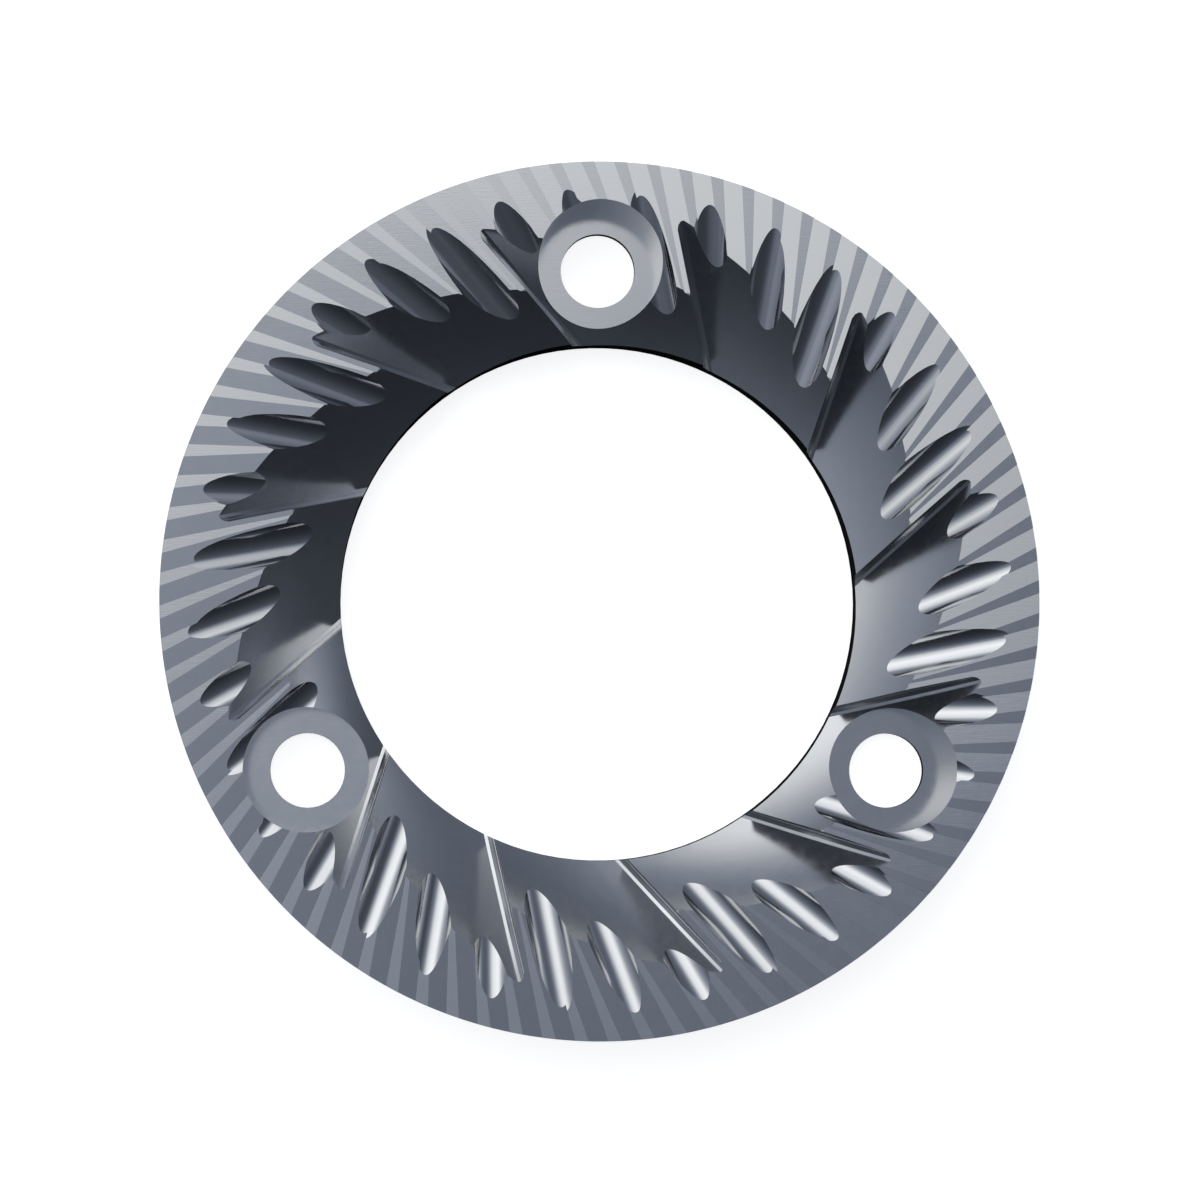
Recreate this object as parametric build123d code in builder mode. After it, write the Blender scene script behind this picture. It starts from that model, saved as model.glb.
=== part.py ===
from build123d import *
from math import asin, cos, degrees, radians, sin, sqrt, tan
import os

# All lengths are in millimetres and all angles in degrees.
# The origin is the centre of the back face, and the teeth point along +Z.
# Bearings run anticlockwise from +X, seen from the toothed side.

# Blank
outer_diameter = 64.0
bore_diameter = 38.0
thickness = 7.0
back_edge_chamfer = 0.4

# Countersunk holes for the screws
screw_count = 3
screw_circle_diameter = 49.4
first_screw_bearing = 90.0
screw_clearance_diameter = 5.5
head_recess_diameter = 9.1
head_recess_depth = 4.2
countersink_angle = 90.0

# Feed pockets, each a dished ramp that runs down to a steep wall
pocket_count = 12
wall_bearing = 71.24
wall_offset = 10.73
wall_draft = 3.0
wall_foot_chamfer = 0.52
wall_foot_edge_chamfer = 0.13
dish_axis_offset = 14.0
dish_axis_from_wall = 84.7
dish_rim_radius = 35.35
dish_rim_slope = 47.0
dish_profile_radius = 20.3

# Scallops that lead from the flat land down into the pockets, each steeper than the one before
scallop_radius = 1.45
rim_land_width = 2.0
scallop_lean = 15.9
first_scallop_bearing = 24.9
scallop_slopes = (11.8, 13.2, 15.3)
scallop_length = 11.0

# Fine grinding teeth on the flat land, parted by shallow grooves
groove_count = 84
groove_bearing = 62.6
groove_offset = 11.66
groove_width = 1.36
groove_depth = 0.1
groove_wall_draft = 8.0
groove_inner_radius = 22.5

# How far a cutter reaches past the face or edge that it cuts
overrun = 0.5

outer_radius = outer_diameter / 2
bore_radius = bore_diameter / 2
scallop_tip_radius = outer_radius - rim_land_width
cutter_top = thickness + overrun


def along(bearing):
    """Unit vector along a bearing."""
    return Vector(1, 0, 0).rotate(Axis.Z, bearing)


def across(bearing):
    """Unit vector a quarter turn clockwise of a bearing."""
    return along(bearing - 90)


def wall_plane(bearing, offset):
    """Plane of a pocket's wall, which leans clockwise towards its foot."""
    return Plane(
        origin=across(bearing) * offset + Vector(0, 0, thickness),
        x_dir=along(bearing),
        z_dir=across(bearing) * cos(radians(wall_draft)) + Vector(0, 0, sin(radians(wall_draft))),
    )


# One groove, deepest at the steep wall on its anticlockwise side
groove_start = sqrt(groove_inner_radius**2 - groove_offset**2)
groove_end = outer_radius + overrun
groove_wall_run = tan(radians(groove_wall_draft))
groove_origin = across(groove_bearing) * groove_offset + along(groove_bearing) * groove_start
groove_plane = Plane(
    origin=groove_origin + Vector(0, 0, thickness),
    x_dir=-across(groove_bearing),
    z_dir=along(groove_bearing),
)

with BuildPart() as groove:
    with BuildSketch(groove_plane):
        with BuildLine():
            Polyline(
                (0, 0),
                (groove_width - groove_depth * groove_wall_run, -groove_depth),
                (groove_width + overrun * groove_wall_run, overrun),
                (0, overrun),
                close=True,
            )
        make_face()
    extrude(amount=groove_end - groove_start)

# One pocket: a bowl about an upright axis off the burr's centre, kept between its own wall
# and the wall of the next pocket
dish_bearing = wall_bearing + dish_axis_from_wall
dish_centre = along(dish_bearing) * dish_axis_offset
arc_centre_radius = dish_rim_radius - dish_profile_radius * sin(radians(dish_rim_slope))
arc_centre_height = thickness + dish_profile_radius * cos(radians(dish_rim_slope))
arc_end_angle = degrees(asin((cutter_top - arc_centre_height) / dish_profile_radius))
pocket_pitch = 360 / pocket_count

with BuildPart() as pocket:
    with BuildSketch(Plane(origin=dish_centre, x_dir=along(dish_bearing), z_dir=across(dish_bearing))):
        with BuildLine():
            floor_arc = CenterArc(
                (arc_centre_radius, arc_centre_height),
                dish_profile_radius,
                -90,
                90 + arc_end_angle,
            )
            Polyline(floor_arc @ 1, (arc_centre_radius, cutter_top), floor_arc @ 0)
        make_face()
    revolve(axis=Axis(dish_centre, (0, 0, 1)))
    split(bisect_by=wall_plane(wall_bearing, wall_offset), keep=Keep.TOP)
    split(
        bisect_by=wall_plane(wall_bearing - pocket_pitch, wall_offset + overrun),
        keep=Keep.BOTTOM,
    )
    with BuildSketch():
        Circle(bore_radius - overrun)
    extrude(amount=cutter_top, mode=Mode.SUBTRACT)
    curved = pocket.faces().filter_by(GeomType.PLANE, reverse=True)
    floor = curved.filter_by(GeomType.CYLINDER, reverse=True)[0]
    wall = pocket.faces().filter_by(GeomType.PLANE).sort_by(Axis(dish_centre, across(wall_bearing)))[0]
    chamfer(floor.edges() & wall.edges(), wall_foot_chamfer)
    foot = pocket.faces().filter_by(GeomType.BSPLINE)[0]
    chamfer(foot.edges().sort_by(SortBy.LENGTH)[-2:], wall_foot_edge_chamfer)

# The scallops of one pocket, round-bottomed cuts that slope down from their tips on the land
scallop_pitch = pocket_pitch / len(scallop_slopes)

with BuildPart() as scallops:
    for place, slope in enumerate(scallop_slopes):
        bearing = first_scallop_bearing + place * scallop_pitch
        tip = along(bearing) * scallop_tip_radius + Vector(0, 0, thickness)
        inward = along(bearing + scallop_lean + 180)
        run = inward * cos(radians(slope)) - Vector(0, 0, sin(radians(slope)))
        rise = inward * sin(radians(slope)) + Vector(0, 0, cos(radians(slope)))
        with BuildSketch(Plane(origin=tip + rise * scallop_radius - run * overrun, x_dir=rise, z_dir=run)):
            Circle(scallop_radius)
        extrude(amount=scallop_length + overrun)

with BuildPart() as burr:
    with BuildSketch():
        Circle(outer_radius)
        Circle(bore_radius, mode=Mode.SUBTRACT)
    extrude(amount=thickness)
    chamfer(burr.faces().sort_by(Axis.Z)[0].edges(), back_edge_chamfer)
    with PolarLocations(0, groove_count):
        add(groove.part, mode=Mode.SUBTRACT)
    with PolarLocations(0, pocket_count):
        add(pocket.part, mode=Mode.SUBTRACT)
    with PolarLocations(0, pocket_count):
        add(scallops.part, mode=Mode.SUBTRACT)
    with Locations((0, 0, thickness - head_recess_depth)):
        with PolarLocations(screw_circle_diameter / 2, screw_count, start_angle=first_screw_bearing):
            CounterSinkHole(
                screw_clearance_diameter / 2,
                head_recess_diameter / 2,
                counter_sink_angle=countersink_angle,
            )

burr.part.label = "burr"
os.makedirs("parts", exist_ok=True)
export_step(burr.part, "parts/burr.step")
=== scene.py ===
import math

import bpy
from mathutils import Matrix, Vector


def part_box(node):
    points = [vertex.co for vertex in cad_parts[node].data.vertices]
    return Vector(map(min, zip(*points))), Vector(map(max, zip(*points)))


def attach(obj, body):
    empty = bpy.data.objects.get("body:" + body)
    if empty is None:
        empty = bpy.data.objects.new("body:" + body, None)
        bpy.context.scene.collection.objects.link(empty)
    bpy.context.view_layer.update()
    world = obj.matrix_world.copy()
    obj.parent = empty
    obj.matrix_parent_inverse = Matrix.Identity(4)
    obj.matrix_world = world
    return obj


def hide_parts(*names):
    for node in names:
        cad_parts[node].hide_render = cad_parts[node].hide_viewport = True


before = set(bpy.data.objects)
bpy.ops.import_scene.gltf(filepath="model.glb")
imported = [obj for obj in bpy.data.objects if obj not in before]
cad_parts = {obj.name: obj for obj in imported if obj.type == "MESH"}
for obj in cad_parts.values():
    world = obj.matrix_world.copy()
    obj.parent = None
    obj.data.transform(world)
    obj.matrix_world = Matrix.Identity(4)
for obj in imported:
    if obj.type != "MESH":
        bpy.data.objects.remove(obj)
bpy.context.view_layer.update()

# Lengths are in metres and angles in degrees. Bearings run anticlockwise from +X, seen from the toothed side.

# The burr, from the frame
LOW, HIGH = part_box("burr")
TOP = HIGH.z
UP = Vector((0, 0, 1))

# The photograph: its side in pixels, its scale at the toothed face, and where the burr's axis meets that face
PHOTO_SIDE = 1200
PIXELS_PER_METRE = 13770
AXIS_PIXEL = (601.35, 599.35)

# The view: tilt from straight above, the bearing it comes from, and the distance from the toothed face
VIEW_TILT = 3.8
VIEW_BEARING = 227.0
VIEW_DISTANCE = 0.3195
SENSOR_MM = 36.0
CLIP_NEAR = 0.01
CLIP_FAR = 10

# The screw recesses, with the countersink of the CAD and the flat seat that takes its place
RECESS_CIRCLE = 0.0247
RECESS_BEARINGS = (90, 210, 330)
RECESS_RADIUS = 0.00455
HOLE_RADIUS = 0.00275
COUNTERSINK_TOP = 0.0028
SEAT_HEIGHT = 0.001

# The grooves: their depth in the CAD, and the part of it that the photograph's light shows
GROOVE_DEPTH = 0.0001
GROOVE_PART = 0.75

# The walls of the pockets, and the bowls that their floors are cut to, as in the CAD
POCKETS = 12
POCKET_PITCH = 360 / POCKETS
WALL_BEARING = 71.24
WALL_OFFSET = 0.01073
WALL_LEAN = math.tan(math.radians(3.0))
BOWL_BEARING = 155.94
BOWL_OFFSET = 0.014
BOWL_RIM = 0.03535
BOWL_SLOPE = math.radians(47.0)
BOWL_PROFILE = 0.0203
BORE_RADIUS = 0.019
ARC_RADIUS = BOWL_RIM - BOWL_PROFILE * math.sin(BOWL_SLOPE)
ARC_HEIGHT = TOP + BOWL_PROFILE * math.cos(BOWL_SLOPE)

# The crests between pockets: the radius they are made good to, the distances behind the wall at which they have
# points, their rows of faces, how deep they are sunk in the ridge, and how far they cover the CAD's faces
CREST_REACH = 0.02325
CREST_BACKS = (0.0, 0.00008, 0.0002, 0.0004, 0.0006, 0.00082)
CREST_ROWS = 24
CREST_DEPTH = 0.0016
CREST_COVER = 0.000008
HEIGHT_STEPS = 8

# How near a point has to be to the surfaces that it is sorted by, and how far up their faces look
NEAR_HOLE = 0.00001
NEAR_BOWL = 0.000004
NEAR_GROOVE = GROOVE_DEPTH * 1.05
BOWL_LOOKS_UP = 0.3
GROOVE_LOOKS_UP = 0.99

# The finishes of the steel: name, lowest and highest roughness
FINISHES = (("ground_steel", 0.08, 0.13), ("cut_steel", 0.09, 0.15), ("milled_steel", 0.16, 0.24))
GROUND, CUT, MILLED = range(len(FINISHES))

# The steel's colours, and the scales of its patches, mottling, grain and grinding marks, per metre
DARK_STEEL = (0.545, 0.55, 0.555, 1.0)
PALE_STEEL = (0.605, 0.61, 0.615, 1.0)
PATCH_SCALE = 120.0
MOTTLE_SCALE = 1500.0
MOTTLE_COARSENESS = 0.6
MOTTLE_RANGE = (0.3, 0.7)
GRAIN_SCALE = 9000.0
SCRATCH_SCALES = (500.0, 12000.0, 12000.0)
MARK_STRENGTH = 0.12
MARK_HEIGHT = 0.00001

# The edges painted paler, partly as wear and partly as a painted highlight: radius, the cosines of the turn at
# which the paler edge starts and is full, and what it does there
WORN_GLINT_RADIUS = 0.00004
WORN_GLINT_TURN = (0.97, 0.8)
WORN_GLINT_SHARE = 0.3
WORN_ROUGHNESS = 0.15
# The paler steel of the edges: partly wear, partly a painted highlight
WORN_GLINT_STEEL = (0.78, 0.785, 0.79, 1.0)

# The floor: its side, its colour, how much paler the camera sees it, and its colour as the steel mirrors it
FLOOR_SIZE = 3.0
FLOOR_COLOUR = (0.8, 0.8, 0.8, 1.0)
FLOOR_LIFT = 0.85
MIRRORED_FLOOR = (0.02, 0.02, 0.02, 1.0)

# The studio's soft glows: bearing, angle from the zenith, sharpness and strength
GLOWS = (
    (86, 33, 25.0, 0.83),
    (135, 37, 27.0, 0.79),
    (155, 37, 6.5, 0.18),
    (91, 55, 40.0, 0.62),
    (176, 8, 32.0, 0.29),
    (134, 60, 2.6, 0.32),
    (26, 53, 2.5, 0.05),
    (11, 87, 22.0, 0.65),
    (117, 56, 26.0, 0.69),
)

# The glow that a straight edge cuts, with the edge's bearing. Its two ramps run over the tangent of the angle
# from the zenith towards that bearing, and the lowest upward part keeps the tangent finite at the horizon.
EDGE_GLOW = (126, 16, 25.0, 0.57)
EDGE_BEARING = 111.5
SOFT_EDGE = (0.02, 0.11)
CRISP_EDGE = (0.076, 0.09, 0.0, 0.06)
LOWEST_UPWARD = 0.05

# The light between the glows, and the tints from dim to bright with the levels where they start and end
AMBIENT = 0.02
COOL_LIGHT = (0.87, 1.0, 1.27, 1.0)
WHITE_LIGHT = (0.975, 1.0, 1.03, 1.0)
TINT_LEVELS = (0.1, 0.9)


def direction(bearing, from_zenith):
    """Unit vector at an angle from straight up, towards a bearing from +X."""
    b, t = math.radians(bearing), math.radians(from_zenith)
    return Vector((math.cos(b) * math.sin(t), math.sin(b) * math.sin(t), math.cos(t)))


RECESS_CENTRES = [direction(bearing, 90) * RECESS_CIRCLE for bearing in RECESS_BEARINGS]


class Graph:
    """A node tree with short ways to add nodes."""

    def __init__(self, tree):
        self.tree = tree
        self.tree.nodes.clear()

    def node(self, kind, **settings):
        made = self.tree.nodes.new(kind)
        inputs = settings.pop("inputs", {})
        for name, value in settings.items():
            setattr(made, name, value)
        for name, value in inputs.items():
            self.feed(made.inputs[name], value)
        return made

    def feed(self, socket, value):
        if isinstance(value, bpy.types.NodeSocket):
            self.tree.links.new(value, socket)
        else:
            socket.default_value = value

    def math(self, operation, a, b=0.0):
        return self.node("ShaderNodeMath", operation=operation, inputs={0: a, 1: b}).outputs[0]

    def add(self, a, b):
        return self.math("ADD", a, b)

    def times(self, a, b):
        return self.math("MULTIPLY", a, b)

    def dot(self, a, b):
        return self.node("ShaderNodeVectorMath", operation="DOT_PRODUCT", inputs={0: a, 1: b}).outputs["Value"]

    def ramp_up(self, value, low, high, to_low=0.0, to_high=1.0):
        made = self.node(
            "ShaderNodeMapRange",
            interpolation_type="SMOOTHSTEP",
            inputs={"Value": value, "From Min": low, "From Max": high, "To Min": to_low, "To Max": to_high},
        )
        return made.outputs["Result"]

    def noise(self, vector, scale, detail=3.0, roughness=0.5):
        made = self.node(
            "ShaderNodeTexNoise",
            inputs={"Vector": vector, "Scale": scale, "Detail": detail, "Roughness": roughness},
        )
        return made.outputs["Fac"]

    def blend(self, factor, a, b):
        made = self.node("ShaderNodeMix", data_type="RGBA", inputs={"Factor": factor, "A": a, "B": b})
        return made.outputs["Result"]

    def end(self, kind, shader):
        self.tree.links.new(shader.outputs[0], self.node(kind).inputs["Surface"])


class Shell:
    """Faces in the making, with a normal at each corner and a finish for each face."""

    def __init__(self):
        self.points = []
        self.faces = []
        self.corner_normals = []
        self.finishes = []

    def add_face(self, corners, normals, finish):
        self.faces.append(tuple(corners))
        self.corner_normals.extend(normals)
        self.finishes.append(finish)

    def mesh(self, name, materials):
        made = bpy.data.meshes.new(name)
        made.from_pydata(self.points, [], self.faces)
        made.update()
        made.normals_split_custom_set(self.corner_normals)
        for material in materials:
            made.materials.append(material)
        made.polygons.foreach_set("material_index", self.finishes)
        return made


def make_camera():
    """A long lens nearly above the burr, placed so that the burr lies where it does in the photograph."""
    back = direction(VIEW_BEARING, VIEW_TILT)
    right = Vector((0, 1, 0)).cross(back).normalized()
    up = back.cross(right)
    data = bpy.data.cameras.new("camera")
    data.sensor_width = SENSOR_MM
    data.lens = VIEW_DISTANCE * PIXELS_PER_METRE * SENSOR_MM / PHOTO_SIDE
    data.shift_x = (PHOTO_SIDE / 2 - AXIS_PIXEL[0]) / PHOTO_SIDE
    data.shift_y = (AXIS_PIXEL[1] - PHOTO_SIDE / 2) / PHOTO_SIDE
    data.clip_start = CLIP_NEAR
    data.clip_end = CLIP_FAR
    camera = bpy.data.objects.new("camera", data)
    bpy.context.scene.collection.objects.link(camera)
    stand = Matrix((right, up, back)).transposed().to_4x4()
    stand.translation = Vector((0, 0, TOP)) + back * VIEW_DISTANCE
    camera.matrix_world = stand
    bpy.context.scene.camera = camera


def make_world():
    """A dim studio under soft glows, the strongest of them towards the top and upper left of the picture."""
    world = bpy.data.worlds.new("studio")
    bpy.context.scene.world = world
    world.use_nodes = True
    g = Graph(world.node_tree)
    way = g.node("ShaderNodeTexCoord").outputs["Generated"]

    def glow(bearing, from_zenith, sharpness, strength):
        short_of = g.math("SUBTRACT", g.dot(way, direction(bearing, from_zenith)), 1.0)
        return g.times(g.math("EXPONENT", g.times(short_of, sharpness)), strength)

    upward = g.math("MAXIMUM", g.dot(way, UP), LOWEST_UPWARD)
    past_edge = g.math("DIVIDE", g.dot(way, direction(EDGE_BEARING, 90)), upward)
    level = g.times(g.ramp_up(past_edge, *SOFT_EDGE), glow(*EDGE_GLOW))
    level = g.add(level, g.ramp_up(past_edge, *CRISP_EDGE))
    level = g.add(level, AMBIENT)
    for one in GLOWS:
        level = g.add(level, glow(*one))
    tint = g.blend(g.ramp_up(level, *TINT_LEVELS), COOL_LIGHT, WHITE_LIGHT)
    g.end("ShaderNodeOutputWorld", g.node("ShaderNodeBackground", inputs={"Color": tint, "Strength": level}))


def steel(name, smoothest, roughest):
    """Hardened steel: cool and mottled, with fine tool marks, and edges painted a little paler, partly as wear
    and partly as a painted highlight.
    """
    material = bpy.data.materials.new(name)
    material.use_nodes = True
    g = Graph(material.node_tree)
    place = g.node("ShaderNodeTexCoord").outputs["Object"]
    mottle = g.noise(place, MOTTLE_SCALE, roughness=MOTTLE_COARSENESS)
    uneven = g.times(g.add(g.noise(place, PATCH_SCALE, detail=4.0), mottle), 0.5)

    bevel = g.node("ShaderNodeBevel", samples=4, inputs={"Radius": WORN_GLINT_RADIUS})
    normal = g.node("ShaderNodeNewGeometry").outputs["Normal"]
    turn = g.dot(bevel.outputs["Normal"], normal)
    # Paler colour on the edges: partly wear, partly a painted highlight along them
    worn_glint = g.times(g.ramp_up(turn, *WORN_GLINT_TURN), g.times(mottle, WORN_GLINT_SHARE))
    colour = g.blend(worn_glint, g.blend(uneven, DARK_STEEL, PALE_STEEL), WORN_GLINT_STEEL)
    rough = g.add(g.ramp_up(uneven, *MOTTLE_RANGE, smoothest, roughest), g.times(worn_glint, WORN_ROUGHNESS))

    stretched = g.node("ShaderNodeVectorMath", operation="MULTIPLY", inputs={0: place, 1: SCRATCH_SCALES})
    scratches = g.noise(stretched.outputs["Vector"], 1.0, detail=2.0)
    marks = g.add(g.noise(place, GRAIN_SCALE), scratches)
    marked = {"Strength": MARK_STRENGTH, "Distance": MARK_HEIGHT, "Height": marks}
    bump = g.node("ShaderNodeBump", inputs=marked)
    surface = {"Base Color": colour, "Metallic": 1.0, "Roughness": rough, "Normal": bump.outputs["Normal"]}
    g.end("ShaderNodeOutputMaterial", g.node("ShaderNodeBsdfPrincipled", inputs=surface))
    return material


def bowl_axis(pocket):
    """Where the upright axis of one pocket's bowl stands."""
    return direction(BOWL_BEARING + pocket * POCKET_PITCH, 90) * BOWL_OFFSET


def is_bowl(points):
    """Whether a face's corners all lie on one pocket's bowl."""
    for pocket in range(POCKETS):
        axis = bowl_axis(pocket)
        reaches = [math.hypot(p.x - axis.x, p.y - axis.y) - ARC_RADIUS for p in points]
        gaps = [math.hypot(reach, ARC_HEIGHT - p.z) - BOWL_PROFILE for reach, p in zip(reaches, points)]
        if all(abs(gap) <= NEAR_BOWL for gap in gaps):
            return True
    return False


def on_countersink(point):
    """Whether a point of the CAD lies on the countersink of a screw recess."""
    away = min(math.hypot(point.x - c.x, point.y - c.y) for c in RECESS_CENTRES)
    if not HOLE_RADIUS - NEAR_HOLE < away < RECESS_RADIUS + NEAR_HOLE:
        return False
    return SEAT_HEIGHT - NEAR_HOLE < point.z < COUNTERSINK_TOP + NEAR_HOLE


def above_grooves(point):
    """Whether a point of the CAD lies no deeper than the grooves."""
    return TOP - point.z < NEAR_GROOVE


def shallower(normal):
    """The normal of a groove's floor once the groove is less deep. The steep sides keep theirs."""
    if normal.z <= GROOVE_LOOKS_UP:
        return normal
    return Vector((normal.x * GROOVE_PART, normal.y * GROOVE_PART, normal.z)).normalized()


def add_cad(shell, source):
    """Copies the CAD's burr, with its countersinks flattened to seats and its grooves made shallower."""
    for vertex in source.vertices:
        point = vertex.co.copy()
        if on_countersink(vertex.co):
            point.z = SEAT_HEIGHT
        elif above_grooves(vertex.co):
            point.z = TOP - (TOP - vertex.co.z) * GROOVE_PART
        shell.points.append(point)
    for polygon in source.polygons:
        corners = [source.vertices[v].co for v in polygon.vertices]
        normals = [source.corner_normals[loop].vector.copy() for loop in polygon.loop_indices]
        finish = CUT
        if all(above_grooves(p) for p in corners):
            finish = GROUND
            normals = [shallower(normal) for normal in normals]
        if all(on_countersink(p) for p in corners):
            normals = [UP] * len(normals)
        if polygon.normal.z > BOWL_LOOKS_UP and is_bowl(corners):
            finish = MILLED
        shell.add_face(polygon.vertices, normals, finish)


def wall_directions(pocket):
    """Level directions along one pocket's wall, outwards, and square to it, clockwise."""
    bearing = WALL_BEARING + pocket * POCKET_PITCH
    return direction(bearing, 90), direction(bearing - 90, 90)


def crest_point(pocket, out, back):
    """The point and normal of the ridge behind a pocket's wall, at a radius and a distance behind the wall."""
    along, across = wall_directions(pocket)
    height = TOP
    for _ in range(HEIGHT_STEPS):
        side = WALL_OFFSET + (TOP - height) * WALL_LEAN - back
        place = across * side + along * math.sqrt(out * out - side * side)
        outward = place - bowl_axis(pocket + 1)
        reach = outward.length - ARC_RADIUS
        height = min(ARC_HEIGHT - math.sqrt(BOWL_PROFILE**2 - reach * reach), TOP)
    normal = UP
    if height < TOP:
        normal = (UP * (ARC_HEIGHT - height) - outward.normalized() * reach).normalized()
    return place + UP * height, normal


def add_crest(shell, pocket):
    """The crest behind one pocket's wall: a closed strip of the next pocket's bowl, sunk in the ridge."""
    along, across = wall_directions(pocket)
    wall_normal = (across + UP * WALL_LEAN).normalized()
    sunk = across * (CREST_DEPTH * WALL_LEAN) - UP * CREST_DEPTH
    first = len(shell.points)
    wide = len(CREST_BACKS)
    top_points = []
    top_normals = []
    for row in range(CREST_ROWS + 1):
        share = row / CREST_ROWS
        out = BORE_RADIUS + (CREST_REACH - BORE_RADIUS) * share
        cover = CREST_COVER * (1 - share)
        for back in CREST_BACKS:
            point, normal = crest_point(pocket, out, back)
            point += normal * cover
            if back == 0:
                point += across * cover
            point.z = min(point.z, TOP)
            top_points.append(point)
            top_normals.append(normal)
    shell.points.extend(top_points)
    shell.points.extend(point + sunk for point in top_points)

    def upper(row, column):
        return first + row * wide + column

    def lower(row, column):
        return upper(row, column) + len(top_points)

    def to_axis(corner):
        point = shell.points[corner]
        return -Vector((point.x, point.y, 0)).normalized()

    for row in range(CREST_ROWS):
        for column in range(wide - 1):
            spots = ((row, column), (row + 1, column), (row + 1, column + 1), (row, column + 1))
            top = [upper(*spot) for spot in spots]
            shell.add_face(top, [top_normals[corner - first] for corner in top], MILLED)
            shell.add_face([lower(*spot) for spot in reversed(spots)], [-UP] * 4, CUT)
        front = (upper(row, 0), lower(row, 0), lower(row + 1, 0), upper(row + 1, 0))
        shell.add_face(front, [wall_normal] * 4, CUT)
        last = wide - 1
        behind = (upper(row, last), upper(row + 1, last), lower(row + 1, last), lower(row, last))
        shell.add_face(behind, [-across] * 4, CUT)
    for column in range(wide - 1):
        bore_end = (upper(0, column), upper(0, column + 1), lower(0, column + 1), lower(0, column))
        shell.add_face(bore_end, [to_axis(corner) for corner in bore_end], CUT)
        last = CREST_ROWS
        outer_end = (upper(last, column), lower(last, column), lower(last, column + 1), upper(last, column + 1))
        shell.add_face(outer_end, [along] * 4, CUT)


def make_body():
    """The burr as the photograph shows it: the CAD's, with flat seats, shallower grooves and whole crests."""
    shell = Shell()
    add_cad(shell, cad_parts["burr"].data)
    for pocket in range(POCKETS):
        add_crest(shell, pocket)
    body = bpy.data.objects.new("burr_body", shell.mesh("burr_body", [steel(*finish) for finish in FINISHES]))
    bpy.context.scene.collection.objects.link(body)
    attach(body, "root")
    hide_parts("burr")


def make_floor():
    """A plain pale floor that keeps the burr's soft shadow."""
    material = bpy.data.materials.new("floor")
    material.use_nodes = True
    g = Graph(material.node_tree)
    path = g.node("ShaderNodeLightPath")
    matt = g.node("ShaderNodeBsdfDiffuse", inputs={"Color": FLOOR_COLOUR})
    lift = g.node("ShaderNodeEmission", inputs={"Strength": g.times(path.outputs["Is Camera Ray"], FLOOR_LIFT)})
    pale = g.node("ShaderNodeAddShader", inputs={0: matt.outputs[0], 1: lift.outputs[0]})
    dark = g.node("ShaderNodeBsdfDiffuse", inputs={"Color": MIRRORED_FLOOR})
    either = {0: path.outputs["Is Glossy Ray"], 1: pale.outputs[0], 2: dark.outputs[0]}
    g.end("ShaderNodeOutputMaterial", g.node("ShaderNodeMixShader", inputs=either))
    mesh = bpy.data.meshes.new("floor")
    half = FLOOR_SIZE / 2
    corners = [(-half, -half, 0), (half, -half, 0), (half, half, 0), (-half, half, 0)]
    mesh.from_pydata(corners, [], [(0, 1, 2, 3)])
    mesh.materials.append(material)
    floor = bpy.data.objects.new("floor", mesh)
    floor.location.z = LOW.z
    bpy.context.scene.collection.objects.link(floor)


bpy.context.scene.view_settings.view_transform = "Standard"
make_camera()
make_world()
make_floor()
make_body()

bpy.context.view_layer.update()
